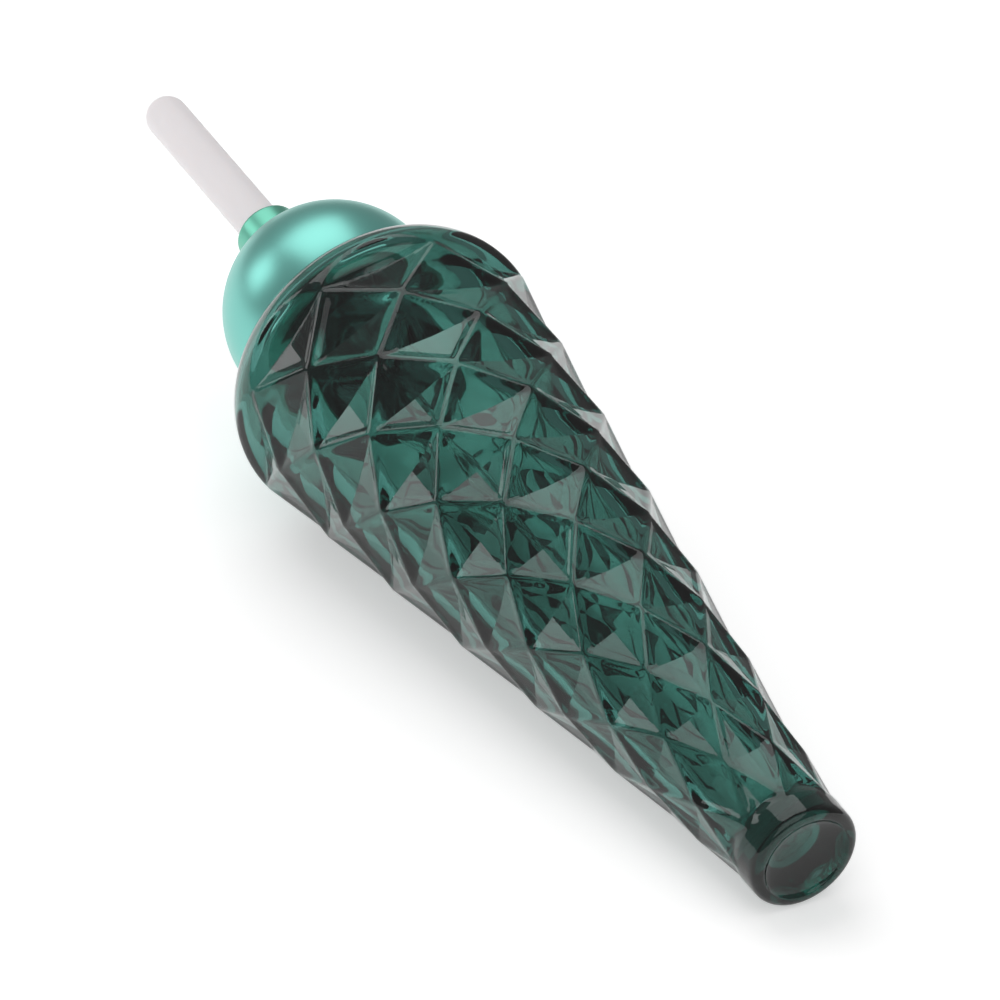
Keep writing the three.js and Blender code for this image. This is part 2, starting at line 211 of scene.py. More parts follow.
@dataclass(frozen=True)
class AnodisedMetal:
    """Blasted and dyed aluminium with a fine even grain. Scales in waves per metre."""

    name: str
    colour: Colour
    roughness: float
    grain_scale: float = 9000.0
    grain_wear: float = 0.06
    grain_bump: float = 0.08
    grain_depth: float = 0.02 * MM
    cloud_scale: float = 60.0
    cloud_wear: float = 0.05
    cloud_low: float = 0.95
    cloud_high: float = 1.04

    def material(self) -> bpy.types.Material:
        """Builds the material.

        Returns:
            The metal, with grain in its roughness and its normal.
        """
        sheet = NodeSheet(self.name)
        place = sheet.place()
        grain = sheet.noise(place, self.grain_scale, 3.0, 0.65)
        cloud = sheet.noise(place, self.cloud_scale, 2.0)
        low = shaded(self.colour, self.cloud_low)
        high = shaded(self.colour, self.cloud_high)
        wear = self.cloud_wear * (cloud - 0.5) + self.grain_wear * (grain - 0.5)
        inputs = {
            "Base Color": sheet.blend(cloud, low, high),
            "Metallic": 1.0,
            "Roughness": self.roughness + wear,
            "Normal": sheet.bump(grain, self.grain_bump, self.grain_depth),
        }
        return sheet.principled(inputs)


@dataclass(frozen=True)
class Silicone:
    """Matte silicone rubber with a dusty bloom. Scales in waves per metre."""

    name: str
    colour: Colour
    shade: Colour
    roughness: float = 0.58
    bloom_scale: float = 90.0
    bloom_wear: float = 0.12
    skin_scale: float = 3500.0
    skin_bump: float = 0.12
    skin_depth: float = 0.03 * MM
    sheen: float = 0.12
    milkiness: float = 0.35
    milk_depth: float = 1.5 * MM
    milk_reach: Colour = (1.0, 0.9, 0.85)

    def material(self) -> bpy.types.Material:
        """Builds the material.

        Returns:
            The silicone, a little milky under its skin.
        """
        sheet = NodeSheet(self.name)
        place = sheet.place()
        bloom = sheet.noise(place, self.bloom_scale, 4.0)
        skin = sheet.noise(place, self.skin_scale, 2.0)
        inputs = {
            "Base Color": sheet.blend(bloom, self.shade, self.colour),
            "Roughness": self.roughness + self.bloom_wear * bloom,
            "Normal": sheet.bump(skin, self.skin_bump, self.skin_depth),
            "Subsurface Weight": self.milkiness,
            "Subsurface Radius": self.milk_reach,
            "Subsurface Scale": self.milk_depth,
            "Sheen Weight": self.sheen,
        }
        return sheet.principled(inputs)


@dataclass(frozen=True)
class MouldedPlastic:
    """Injection moulded plastic with a fine spark-eroded texture. Scales in waves per metre."""

    name: str
    colour: Colour
    roughness: float = 0.45
    texture: float = 0.15
    texture_scale: float = 2600.0
    texture_depth: float = 0.03 * MM
    flow_scale: float = 70.0
    flow_wear: float = 0.08
    flow_gain: float = 1.15
    flow_lift: float = 0.004

    def material(self) -> bpy.types.Material:
        """Builds the material.

        Returns:
            The plastic, with faint flow marks and a moulded texture.
        """
        sheet = NodeSheet(self.name)
        place = sheet.place()
        skin = sheet.noise(place, self.texture_scale, 3.0)
        flow = sheet.noise(place, self.flow_scale, 2.0)
        lifted = shaded(self.colour, self.flow_gain, self.flow_lift)
        inputs = {
            "Base Color": sheet.blend(flow, self.colour, lifted),
            "Roughness": self.roughness + self.flow_wear * (flow - 0.5),
            "Normal": sheet.bump(skin, self.texture, self.texture_depth),
        }
        return sheet.principled(inputs)


class Finish(Enum):
    """The finishes of this bottle's pieces."""

    GREEN_GLASS = TintedGlass("green_glass", (0.40, 0.605, 0.56), (0.0, 0.45, 0.41), 240.0)
    CLEAR_GLASS = TintedGlass("clear_glass", (0.97, 0.99, 0.98), (0.8, 0.9, 0.88), 4.0)
    TEAL_ANODISED = AnodisedMetal("teal_anodised", (0.215, 0.585, 0.52), 0.35)
    GREEN_ANODISED = AnodisedMetal("green_anodised", (0.17, 0.53, 0.40), 0.36)
    WHITE_SILICONE = Silicone("white_silicone", (0.95, 0.895, 0.91), (0.92, 0.865, 0.88))
    BLACK_PLASTIC = MouldedPlastic("black_plastic", (0.009, 0.010, 0.011))
    NATURAL_PLASTIC = MouldedPlastic("natural_plastic", (0.78, 0.78, 0.74), 0.4, 0.08)
    SEAL_FOAM = MouldedPlastic("seal_foam", (0.72, 0.72, 0.69), 0.8, 0.5)


# -------------------- outlines and turned pieces


def arc(
    centre: Point, radius: float, start: float, end: float, steps: int, up: float | None = None
) -> list[Point]:
    """Points of an arc, in [radius, height] pairs.

    Args:
        centre: middle of the arc.
        radius: radius across.
        start: first angle in degrees, 0 pointing away from the axis.
        end: last angle in degrees.
        steps: pieces of the arc.
        up: radius along the height, where it differs.

    Returns:
        The points, ends included.
    """
    tall = radius if up is None else up
    angles = [math.radians(start + (end - start) * i / steps) for i in range(steps + 1)]
    return [(centre[0] + radius * math.cos(a), centre[1] + tall * math.sin(a)) for a in angles]


def softened(corners: Sequence[tuple[float, float, float]], steps: int = 4) -> list[Point]:
    """A closed outline with its corners rounded.

    Args:
        corners: (radius from the axis, height, rounding) of each corner in order.
        steps: points of each rounding, less one.

    Returns:
        The outline's points.
    """
    longest = 0.45
    outline: list[Point] = []
    count = len(corners)
    for i, (r, z, rounding) in enumerate(corners):
        here = Vector((r, z))
        before = Vector(corners[i - 1][:2]) - here
        after = Vector(corners[(i + 1) % count][:2]) - here
        half = before.angle(after) / 2
        reach = min(rounding / math.tan(half), longest * before.length, longest * after.length)
        first = here + before.normalized() * reach
        last = here + after.normalized() * reach
        for k in range(steps + 1):
            t = k / steps
            mixed = first * (1 - t) ** 2 + here * 2 * t * (1 - t) + last * t**2
            outline.append((mixed.x, mixed.y))
    return outline


def soft_larger(first: np.ndarray, second: np.ndarray | float) -> np.ndarray:
    """The larger of two lengths, with a soft edge where they cross."""
    return SOFT_EDGE * np.logaddexp(first / SOFT_EDGE, second / SOFT_EDGE)


def start_edit(made: bpy.types.Object) -> None:
    """Opens one object in edit mode, alone and with all of it selected.

    Args:
        made: the object.
    """
    bpy.ops.object.select_all(action="DESELECT")
    made.select_set(True)
    bpy.context.view_layer.objects.active = made
    bpy.ops.object.mode_set(mode="EDIT")
    bpy.ops.mesh.select_all(action="SELECT")


def finish_edit(merge: float) -> None:
    """Merges doubles, points the faces outwards and leaves edit mode.

    Args:
        merge: distance under which points merge.
    """
    bpy.ops.mesh.select_all(action="SELECT")
    bpy.ops.mesh.remove_doubles(threshold=merge)
    bpy.ops.mesh.select_all(action="SELECT")
    bpy.ops.mesh.normals_make_consistent(inside=False)
    bpy.ops.object.mode_set(mode="OBJECT")


def turned(
    name: str, outline: Sequence[Point], steps: int = 96, smooth: float = 32.0
) -> bpy.types.Object:
    """A piece turned round the bottle's axis, as on a lathe.

    Args:
        name: the piece's name.
        outline: closed outline of its section in metres, (radius, height).
        steps: sides of the turned piece.
        smooth: angle in degrees under which faces shade as one.

    Returns:
        The piece, upright.
    """
    bpy.ops.object.select_all(action="DESELECT")
    bpy.ops.mesh.primitive_circle_add(vertices=len(outline), radius=MM)
    made = bpy.context.object
    made.name = made.data.name = name
    for vertex, (r, z) in zip(made.data.vertices, outline):
        vertex.co = (r, 0.0, z)
    start_edit(made)
    bpy.ops.mesh.spin(steps=steps, angle=TURN, center=(0, 0, 0), axis=(0, 0, 1))
    finish_edit(merge=0.002 * MM)
    bpy.ops.object.shade_smooth_by_angle(angle=math.radians(smooth))
    return made


# -------------------- the bottle's own frame


@dataclass(frozen=True)
class LyingAxis:
    """Where the bottle's axis lies: pieces are built upright from the foot and laid along it."""

    ball_height: float

    def placement(self) -> Matrix:
        """Finds the axis from the ball's centre, which the cap turns about.

        Returns:
            The matrix that lays down a piece built upright.
        """
        joint = next(j for j in frame["joints"] if j["name"] == "cap_turn")
        along = Vector(joint["axis"]).normalized()
        across = Vector((1, 0, 0))
        under = along.cross(across)
        foot = Vector(joint["pos_m"]) - along * self.ball_height
        turn = Matrix((across, under, along)).transposed().to_4x4()
        return Matrix.Translation(foot) @ turn


@dataclass(frozen=True)
class Assembly:
    """Lays finished pieces down and hands them to the frame."""

    placement: Matrix

    def add(self, made: bpy.types.Object, body: str, node: str, finish: Finish) -> None:
        """Places a piece and says what it is.

        Args:
            made: the piece, built upright.
            body: the body it moves with.
            node: the CAD node it stands for.
            finish: its finish, named as its material slot is.
        """
        made.data.transform(self.placement)
        made.data.materials.clear()
        made.data.materials.append(finish.value.material())
        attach(made, body)
        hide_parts(node)
        LOG.info("%s: %d faces on %s", made.name, len(made.data.polygons), body)


# -------------------- glass


@dataclass
class GlassBottle:
    """The faceted cone with its round shoulder, screw neck, cavity and foot. Sizes in metres."""

    cells: int = 8
    rings: int = 14
    ring_step: float = 9.3 * MM
    ring_growth: float = 0.11 * MM
    first_ring: float = 145.0 * MM
    first_node_angle: float = math.pi / 2 + math.radians(11.656)
    node_radius: float = 30.0 * MM
    taper: float = 0.1455
    hollow: float = 0.4 * MM
    ridge_half_width: float = 1.7 * MM
    rib: float = 0.45 * MM
    crease_clear: float = 1.2
    fineness: int = 15
    wall: float = 2.4 * MM
    inner_wave: float = 0.30 * MM
    wave_settle: float = 6.0 * MM

    shoulder_round: float = 11.6 * MM
    shoulder_rise: float = 2.6 * MM
    shoulder_swell: float = 0.1 * MM
    shoulder_wall: float = 3.0 * MM
    crown_wall: float = 2.7 * MM
    scallop_height: float = 4.6 * MM
    scallop_from: float = 0.09
    scallop_to: float = 1.15

    foot_radius: float = 10.1 * MM
    foot_band: float = 5.0 * MM
    band_swell: float = 0.12 * MM
    band_fade: float = 3.0 * MM
    band_drop: float = 0.8 * MM
    heel: float = 1.4 * MM
    fullness: float = 0.85 * MM
    fullness_reach: float = 30.0 * MM
    push_up_radius: float = 8.0 * MM
    push_up: float = 1.6 * MM
    base: float = 7.4 * MM
    bowl: float = 3.5 * MM

    neck_radius: float = 9.0 * MM
    neck_bore: float = 6.6 * MM
    neck_height: float = 14.0 * MM
    neck_fillet: float = 0.9 * MM
    thread_depth: float = 1.0 * MM
    thread_pitch: float = 3.0 * MM
    thread_turns: float = 1.5
    thread_start: float = 3.8 * MM
    thread_width: float = 0.72 * MM
    thread_fade: float = 0.12

    @property
    def half_cell(self) -> float:
        """Angle between neighbouring columns of nodes."""
        return math.pi / self.cells

    @property
    def columns(self) -> int:
        """Columns of the skin's grid."""
        return 2 * self.cells * self.fineness

    @property
    def angles(self) -> np.ndarray:
        """Angle of each column from the first node, with the first column again at the end."""
        return np.arange(self.columns + 1) * self.half_cell / self.fineness

    @property
    def crown_radius(self) -> float:
        """Radius of the middle of the shoulder's rounding."""
        return self.node_radius + self.shoulder_swell - self.shoulder_round

    @property
    def crown_height(self) -> float:
        """Height of the middle of the shoulder's rounding."""
        return self.first_ring + self.shoulder_rise

    @property
    def shoulder_top(self) -> float:
        """Height of the top of the shoulder."""
        return self.crown_height + self.shoulder_round

    @property
    def neck_top(self) -> float:
        """Height of the top of the neck."""
        return self.shoulder_top + self.neck_height

    def ring_height(self, ring: int) -> float:
        """Height of a ring of nodes, counted down from the shoulder."""
        return self.first_ring - self.ring_step * ring - self.ring_growth * ring**2

    def ring_at(self, height: float) -> float:
        """Ring number, with its fraction, at a height under the first ring."""
        root = math.sqrt(self.ring_step**2 + 4 * self.ring_growth * (self.first_ring - height))
        return (root - self.ring_step) / (2 * self.ring_growth)

    def node_at(self, height: float) -> float:
        """Radius of a node at a height."""
        return self.node_radius - self.taper * (self.first_ring - height)

    def centre_at(self, height: float) -> float:
        """Radius of the hollow centre of a diamond at a height."""
        return self.node_at(height) * math.cos(self.half_cell) - self.hollow

    def cavity_at(self, height: float) -> float:
        """Radius of the cavity at a height."""
        return self.centre_at(height) - self.wall

    def _around(self, radius: np.ndarray | float, height: float) -> np.ndarray:
        """A row of the skin at one height.

        Args:
            radius: one radius, or one for each column.
            height: the row's height.

        Returns:
            The row's points.
        """
        angle = self.first_node_angle + self.angles
        wide = np.broadcast_to(radius, angle.shape)
        tall = np.full(angle.shape, height)
        return np.stack([wide * np.cos(angle), wide * np.sin(angle), tall], 1)

    def _rows(self, outline: Iterable[Point]) -> list[np.ndarray]:
        """A round row of the skin for each point of an outline."""
        return [self._around(r, z) for r, z in outline]

    def facet_rows(self) -> tuple[np.ndarray, np.ndarray]:
        """The skin over the diamonds, from the last ring up to the first.

        Returns:
            Points as rows x columns x 3, and a mask of the rows x columns that lie on a crease.
        """
        fine = self.fineness
        column = np.arange(self.columns + 1)
        strip = column // fine
        u = (column % fine) / fine
        rows, creased = [], []
        for step in range((self.rings - 1) * fine, -1, -1):
            ring, v = step // fine, (step % fine) / fine
            upper, lower = self.ring_height(ring), self.ring_height(ring + 1)
            height = upper + (lower - upper) * v
            left_node = (strip + ring) % 2 == 0
            across = np.where(left_node, u, 1 - u)
            near = strip + np.where(left_node, 0, 1)
            far = strip + np.where(left_node, 1, 0)
            here = self._corner(near, upper, self.node_at(upper))
            beside = self._corner(far, upper, self.centre_at(upper))
            opposite = self._corner(far, lower, self.node_at(lower))
            below = self._corner(near, lower, self.centre_at(lower))
            ridge = np.minimum(across, v)[:, None]
            side = np.where((across > v)[:, None], beside - here, below - here)
            point = here + ridge * (opposite - here) + np.abs(across - v)[:, None] * side
            offset = np.abs(across - v) / 2
            share = self._ridge_share(height, upper - lower)
            rows.append(self._round_ridge(point, offset, height, share))
            on_edge = (column % fine == 0) | (step % fine == 0)
            creased.append(on_edge & (offset > self.crease_clear * share))
        return np.array(rows), np.array(creased)

    def _corner(self, index: np.ndarray, height: float, radius: float) -> np.ndarray:
        """Points of a ring at whole half-cell numbers.

        Args:
            index: number of the half cell, for each column.
            height: the ring's height.
            radius: the ring's radius.

        Returns:
            A point for each column.
        """
        angle = self.first_node_angle + index * self.half_cell
        tall = np.full(len(angle), height)
        return np.stack([radius * np.cos(angle), radius * np.sin(angle), tall], 1)

    def _ridge_share(self, height: float, drop: float) -> float:
        """Half width of a ridge as a share of its cell, in step with the skin's offsets.

        Args:
            height: height of the row.
            drop: height of the cell.

        Returns:
            The share, which grows as the cells get smaller.
        """
        across = self.node_at(height) * math.sin(self.half_cell)
        reach = across * drop / math.hypot(across, drop)
        size = 0.5 + 0.5 * self.node_at(height) / self.node_radius
        return 0.5 * self.ridge_half_width * size / reach

    def _round_ridge(
        self, point: np.ndarray, offset: np.ndarray, height: float, share: float
    ) -> np.ndarray:
        """Rounds the ridge between nodes and leaves a rib on it, by drawing points in.

        Args:
            point: the points of a row on flat facets.
            offset: each point's distance from its ridge, as a share of the cell.
            height: height of the row.
            share: half width of the ridge, as the same share.

        Returns:
            The rounded row.
        """
        rounded = np.where(offset < share, (offset**2 / share + share) / 2, offset)
        depth = 2 * (self.node_at(height) - self.centre_at(height))
        size = self.node_at(height) / self.node_radius
        stand = np.clip(1 - (offset / share) ** 2, 0, 1) ** 2
        inward = depth * (rounded - offset - share / 2) + self.rib * size * (1 - stand)
        radius = np.hypot(point[:, 0], point[:, 1])
        scale = (radius - inward) / radius
        return point * np.stack([scale, scale, np.ones_like(scale)], 1)

    def foot_rows(self) -> list[np.ndarray]:
        """Push-up, flat ring, heel and band.

        Returns:
            Rows from the middle of the foot outwards and up.
        """
        dome = arc((0, 0), self.push_up_radius, 90, 8, 12, self.push_up)
        flat = self.push_up_radius + 0.35 * MM
        ring = [(flat - 0.25 * MM, 0.03 * MM), (flat, 0.0)]
        heel = arc((self.foot_radius - self.heel, self.heel), self.heel, -90, 0, 6)
        heights = np.linspace(self.heel, self.foot_band, 7) + 0.2 * MM
        band = [(self._band_at(z), z) for z in heights]
        return self._rows([*dome, *ring, *heel, *band])

    def _band_at(self, height: float) -> float:
        """Radius of the foot's band, which rolls over into the cone above it.

        Args:
            height: height over the foot.

        Returns:
            The radius, which falls away above the band.
        """
        swell = self.band_swell * min(1.0, height / self.foot_band)
        fading = max(0.0, height - self.foot_band) / self.band_fade
        return self.foot_radius + swell - self.band_drop * fading**2

    def _with_band(self, rows: np.ndarray) -> np.ndarray:
        """Fills the cone out above the foot and joins it to the foot's band with a soft edge.

        Args:
            rows: the skin over the diamonds, which is changed in place.

        Returns:
            The same rows.
        """
        for row in rows:
            height = row[0, 2]
            if height > self.fullness_reach:
                continue
            radius = np.hypot(row[:, 0], row[:, 1])
            full = radius + self.fullness * (1 - height / self.fullness_reach) ** 2
            row[:, :2] *= (soft_larger(full, self._band_at(height)) / radius)[:, None]
        return rows

    def crown_rows(self) -> list[np.ndarray]:
        """The shoulder, with the scallops of the half diamonds cut into it.

        Returns:
            Rows from the first ring up to the flat of the shoulder.
        """
        rows = []
        from_centre = np.abs(self.angles % (2 * self.half_cell) - self.half_cell)
        low = self.centre_at(self.first_ring)
        for share in np.linspace(self.scallop_from, self.scallop_to, 12):
            height = self.first_ring + share * self.scallop_height
            up = height - self.crown_height
            smooth = self.crown_radius + math.sqrt(self.shoulder_round**2 - up**2)
            flat = (low + (smooth - low) * share) / np.cos(from_centre)
            rows.append(self._around(-soft_larger(-flat, -smooth), height))
        last = self.scallop_to * self.scallop_height - self.shoulder_rise
        start = math.degrees(math.asin(last / self.shoulder_round)) + 4
        middle = (self.crown_radius, self.crown_height)
        return rows + self._rows(arc(middle, self.shoulder_round, start, 90, 16))

    def thread_at(self, angle: np.ndarray, height: np.ndarray | float) -> np.ndarray:
        """How far the thread stands off the neck.

        Args:
            angle: angles round the neck.
            height: one height, or one for each angle.

        Returns:
            The thread's stand at each angle.
        """
        up = (height - self.shoulder_top - self.thread_start) / self.thread_pitch
        lap = (angle % TURN) / TURN
        flank = 0.5 * self.thread_width
        stand = np.zeros_like(angle)
        for whole in (-1, 0, 1, 2):
            turn = lap + whole
            away = np.abs(up - turn) * self.thread_pitch
            fade = np.clip(np.minimum(turn, self.thread_turns - turn) / self.thread_fade, 0, 1)
            shape = np.clip((self.thread_width - away) / flank, 0, 1)
            stand = np.maximum(stand, self.thread_depth * np.sin(shape * math.pi / 2) * fade)
        return stand

    def neck_rows(self) -> list[np.ndarray]:
        """The flat of the shoulder, the threaded neck, its lip and the bore.

        Returns:
            Rows from the shoulder inwards, up the neck and over its lip.
        """
        top, fillet = self.shoulder_top, self.neck_fillet
        lip = 0.5 * (self.neck_radius - self.neck_bore)
        foot = self.neck_radius + fillet
        flat = [(r, top) for r in np.linspace(self.crown_radius, foot, 3)[1:]]
        root = arc((foot, top + fillet), fillet, -90, -180, 5)[1:]
        rows = self._rows([*flat, *root])
        first = top + fillet + 0.4 * MM
        last = self.neck_top - lip - 0.2 * MM
        angle = self.first_node_angle + self.angles
        for height in np.linspace(first, last, 34):
            rows.append(self._around(self.neck_radius + self.thread_at(angle, height), height))
        middle = (self.neck_radius - lip, self.neck_top - lip)
        return rows + self._rows(arc(middle, lip, 0, 180, 10))

    def inner_rows(self) -> list[np.ndarray]:
        """The cavity, with the gentle waves of glass that cooled against air.

        Returns:
            Rows from under the lip down to the middle of the cavity's floor.
        """
        rows = self._rows(self._inner_crown())
        floor = self.push_up + self.base
        settle = self.wave_settle
        for height in np.linspace(self.first_ring, floor + self.bowl, 72)[1:]:
            bulge = math.cos(math.pi * self.ring_at(height)) * np.cos(self.cells * self.angles)
            drift = 0.5 * math.sin(height / (13 * MM)) * np.sin(3 * self.angles + 4 * height / MM)
            ease = min(1.0, (self.first_ring - height) / settle, (height - floor) / settle)
            size = ease * self.inner_wave * self.node_at(height) / self.node_radius
            rows.append(self._around(self.cavity_at(height) + size * (bulge + drift), height))
        low = floor + self.bowl
        return rows + self._rows(arc((0, low), self.cavity_at(low), 0, -90, 14, self.bowl)[1:])

    def _inner_crown(self) -> list[Point]:
        """Outline of the cavity above the first ring.

        Returns:
            Points from the bore, round under the shoulder, to the first ring.
        """
        ceiling = self.shoulder_top - self.shoulder_wall
        fillet = self.shoulder_wall
        under_lip = self.neck_top - (self.neck_radius - self.neck_bore)
        outline = [(self.neck_bore, z) for z in np.linspace(under_lip, ceiling + fillet, 3)]
        outline += arc((self.neck_bore + fillet, ceiling + fillet), fillet, 180, 270, 5)[1:]
        middle = (self.crown_radius, self.crown_height)
        outline += arc(middle, self.shoulder_round - self.crown_wall, 90, 22, 12)
        (r, z), low = outline[-1], self.cavity_at(self.first_ring)
        for share in np.linspace(0, 1, 7)[1:]:
            ease = share * share * (3 - 2 * share)
            outline.append((r + (low - r) * ease, z + (self.first_ring - z) * share))
        return outline

    def build(self) -> bpy.types.Object:
        """Wraps a fine grid round the bottle, inside and out.

        Returns:
            The glass, upright.
        """
        facets, creased = self.facet_rows()
        facets = self._with_band(facets)
        clear = facets[0][0, 2] - 0.2 * MM
        below = np.array([row for row in self.foot_rows() if row[0, 2] < clear])
        above = np.array([*self.crown_rows(), *self.neck_rows(), *self.inner_rows()])
        points = np.concatenate([below, facets, above])
        rows, columns = points.shape[:2]
        crease = np.zeros((rows, columns), bool)
        crease[len(below) : len(below) + len(facets)] = creased
        bpy.ops.object.select_all(action="DESELECT")
        bpy.ops.mesh.primitive_grid_add(x_subdivisions=columns - 1, y_subdivisions=rows - 1)
        made = bpy.context.object
        made.name = made.data.name = "faceted_glass_bottle"
        mesh = made.data
        mesh.vertices.foreach_set("co", points.reshape(-1, 3).astype(np.float32).ravel())
        ends = np.empty(len(mesh.edges) * 2, np.int32)
        mesh.edges.foreach_get("vertices", ends)
        sharp = crease.ravel()[ends.reshape(-1, 2)].all(axis=1)
        mesh.attributes.new("sharp_edge", "BOOLEAN", "EDGE").data.foreach_set("value", sharp)
        start_edit(made)
        finish_edit(merge=0.004 * MM)
        bpy.ops.object.shade_smooth()
        return made


# -------------------- ball cap


@dataclass
class BallCap:
    """Anodised ball, liner, base disc, threaded cap and collar. Sizes in metres."""

    shoulder_top: float
    gap: float = 0.3 * MM
    ball_radius: float = 20.7 * MM
    ball_wall: float = 0.9 * MM
    ball_rise: float = 9.8 * MM
    ball_gap: float = 0.4 * MM
    plate: float = 1.8 * MM
    plate_gap: float = 0.1 * MM
    groove_depth: float = 0.3 * MM
    groove_half: float = 0.5 * MM
    groove_floor_half: float = 0.3 * MM
    liner_wall: float = 1.5 * MM
    sleeve_wall: float = 1.4 * MM
    cap_radius: float = 12.4 * MM
    cap_bore: float = 10.4 * MM
    cap_bottom: float = 1.2 * MM
    cap_height: float = 19.0 * MM
    cap_roof: float = 1.6 * MM
    thread_clear: float = 0.55 * MM
    boot_hole: float = 5.9 * MM
    collar_radius: float = 6.2 * MM
    collar_bore: float = 4.47 * MM
    collar_stand: float = 7.2 * MM
    collar_seat: float = 5.8 * MM

    @property
    def centre(self) -> float:
        """Height of the ball's centre."""
        return self.shoulder_top + self.ball_rise

    @property
    def collar_low(self) -> float:
        """Height of the collar's lower end."""
        return self.centre + self.ball_radius - self.collar_seat

    @property
    def collar_top(self) -> float:
        """Height of the collar's rim."""
        return self.centre + self.ball_radius + self.collar_stand

    @property
    def plate_low(self) -> float:
        """Height of the underside of the base disc."""
        return self.shoulder_top + self.ball_gap + self.plate_gap

    def _sphere(
        self, radius: float, low: float, bore: float, ease: tuple[float, float], steps: int
    ) -> list[Point]:
        """Outline of a ball between a flat cut below and a bore above.

        Args:
            radius: the ball's radius.
            low: height of the cut, from the ball's centre.
            bore: radius of the bore.
            ease: degrees left free at the cut and at the bore, for their rounding.
            steps: pieces of the outline.

        Returns:
            Points from the cut up to the bore.
        """
        start = math.degrees(math.asin(low / radius)) + ease[0]
        end = math.degrees(math.acos(bore / radius)) - ease[1]
        return arc((0.0, self.centre), radius, start, end, steps)

    def shell(self) -> bpy.types.Object:
        """The thin ball, with a rolled lower edge and a bore for the collar.

        Returns:
            The ball, upright.
        """
        low = self.ball_gap - self.ball_rise
        inner = self.ball_radius - self.ball_wall
        bore = self.collar_radius + self.gap
        lip = 0.998 * math.sqrt(self.ball_radius**2 - bore**2)
        share = math.cos(math.asin(low / self.ball_radius))
        rim = share * (self.ball_radius - 0.5 * self.ball_wall)
        outline = self._sphere(self.ball_radius, low, bore, (0.6, 0.6), 64)
        outline.append((bore, self.centre + lip))
        outline += self._sphere(inner, low, bore, (0.6, 0.0), 40)[::-1]
        outline += [(rim + edge, self.centre + low) for edge in (-0.2 * MM, 0.25 * MM)]
        return turned("anodised_ball", outline, 128, 40.0)

    def liner(self) -> bpy.types.Object:
        """The plastic core that backs the shell and grips the threaded cap.

        Returns:
            The core, upright.
        """
        outer = self.ball_radius - self.ball_wall - self.gap
        inner = outer - self.liner_wall
        bottom = self.plate_low + self.plate + self.gap
        roof = self.shoulder_top + self.cap_height + self.cap_bottom + self.gap
        seat = self.collar_low - self.gap
        sleeve = self.cap_radius + self.gap
        bore = self.collar_radius + self.gap
        low = bottom - self.centre
        outline = self._sphere(outer, low, bore, (0.0, 0.0), 24)
        outline += [(bore, seat), (self.boot_hole, seat), (self.boot_hole, roof), (sleeve, roof)]
        outline += [(sleeve, bottom), (sleeve + self.sleeve_wall, bottom)]
        outline += self._sphere(inner, low, sleeve + self.sleeve_wall, (0.0, 0.0), 18)[::-1]
        return turned("ball_core", outline, 72)

    def base_disc(self) -> bpy.types.Object:
        """The black disc that closes the ball, with a shallow groove round it.

        Returns:
            The disc, upright.
        """
        low = self.plate_low
        high, sunk = low + self.plate, low + self.groove_depth
        inner = self.ball_radius - self.ball_wall
        edge = math.sqrt(inner**2 - (low - self.centre) ** 2) - self.gap
        hole = self.cap_radius + self.gap
        groove = 0.5 * (hole + edge)
        corners = [
            (hole, low, 0.15 * MM),
            (groove - self.groove_half, low, 0.1 * MM),
            (groove - self.groove_floor_half, sunk, 0.1 * MM),
            (groove + self.groove_floor_half, sunk, 0.1 * MM),
            (groove + self.groove_half, low, 0.1 * MM),
            (edge, low, 0.25 * MM),
            (edge, high, 0.2 * MM),
            (hole, high, 0.15 * MM),
        ]
        return turned("base_disc", softened(corners))

    def threaded_cap(self, glass: GlassBottle) -> bpy.types.Object:
        """The plastic cap whose inner thread runs between the turns of the neck's.

        Args:
            glass: the bottle whose thread it fits.

        Returns:
            The cap, upright.
        """
        low = self.shoulder_top + self.cap_bottom
        roof = low + self.cap_height
        ceiling = roof - self.cap_roof
        bore, out, hole = self.cap_bore, self.cap_radius, self.boot_hole
        corners = [
            (bore, low, 0.2 * MM),
            (out, low, 0.3 * MM),
            (out, roof, 0.5 * MM),
            (hole, roof, 0.2 * MM),
            (hole, ceiling, 0.2 * MM),
            (bore, ceiling, 0.3 * MM),
        ]
        wall = np.linspace(ceiling - 0.8 * MM, low + 0.6 * MM, 48)
        made = turned("threaded_cap", softened(corners) + [(bore, float(z)) for z in wall])
        mesh = made.data
        points = np.empty(len(mesh.vertices) * 3, np.float32)
        mesh.vertices.foreach_get("co", points)
        points = points.reshape(-1, 3).astype(float)
        radius = np.hypot(points[:, 0], points[:, 1])
        on_bore = np.abs(radius - bore) < 0.02 * MM
        x, y, z = points[on_bore].T
        stand = glass.thread_at(np.arctan2(y, x), z + glass.thread_pitch / 2) / glass.thread_depth
        reach = bore - (glass.neck_radius + glass.thread_depth - self.thread_clear)
        points[on_bore, :2] *= (1 - reach * stand / radius[on_bore])[:, None]
        mesh.vertices.foreach_set("co", points.astype(np.float32).ravel())
        mesh.update()
        return made

    def collar(self) -> bpy.types.Object:
        """The short ring that the bulb comes out of, with a rounded rim and a turned-in lip.

        Returns:
            The ring, upright.
        """
        corners = [
            (self.collar_bore, self.collar_low, 0.2 * MM),
            (self.collar_radius, self.collar_low, 0.2 * MM),
            (self.collar_radius, self.collar_top, 0.9 * MM),
            (self.collar_bore, self.collar_top, 0.35 * MM),
        ]
        return turned("collar", softened(corners, 8))

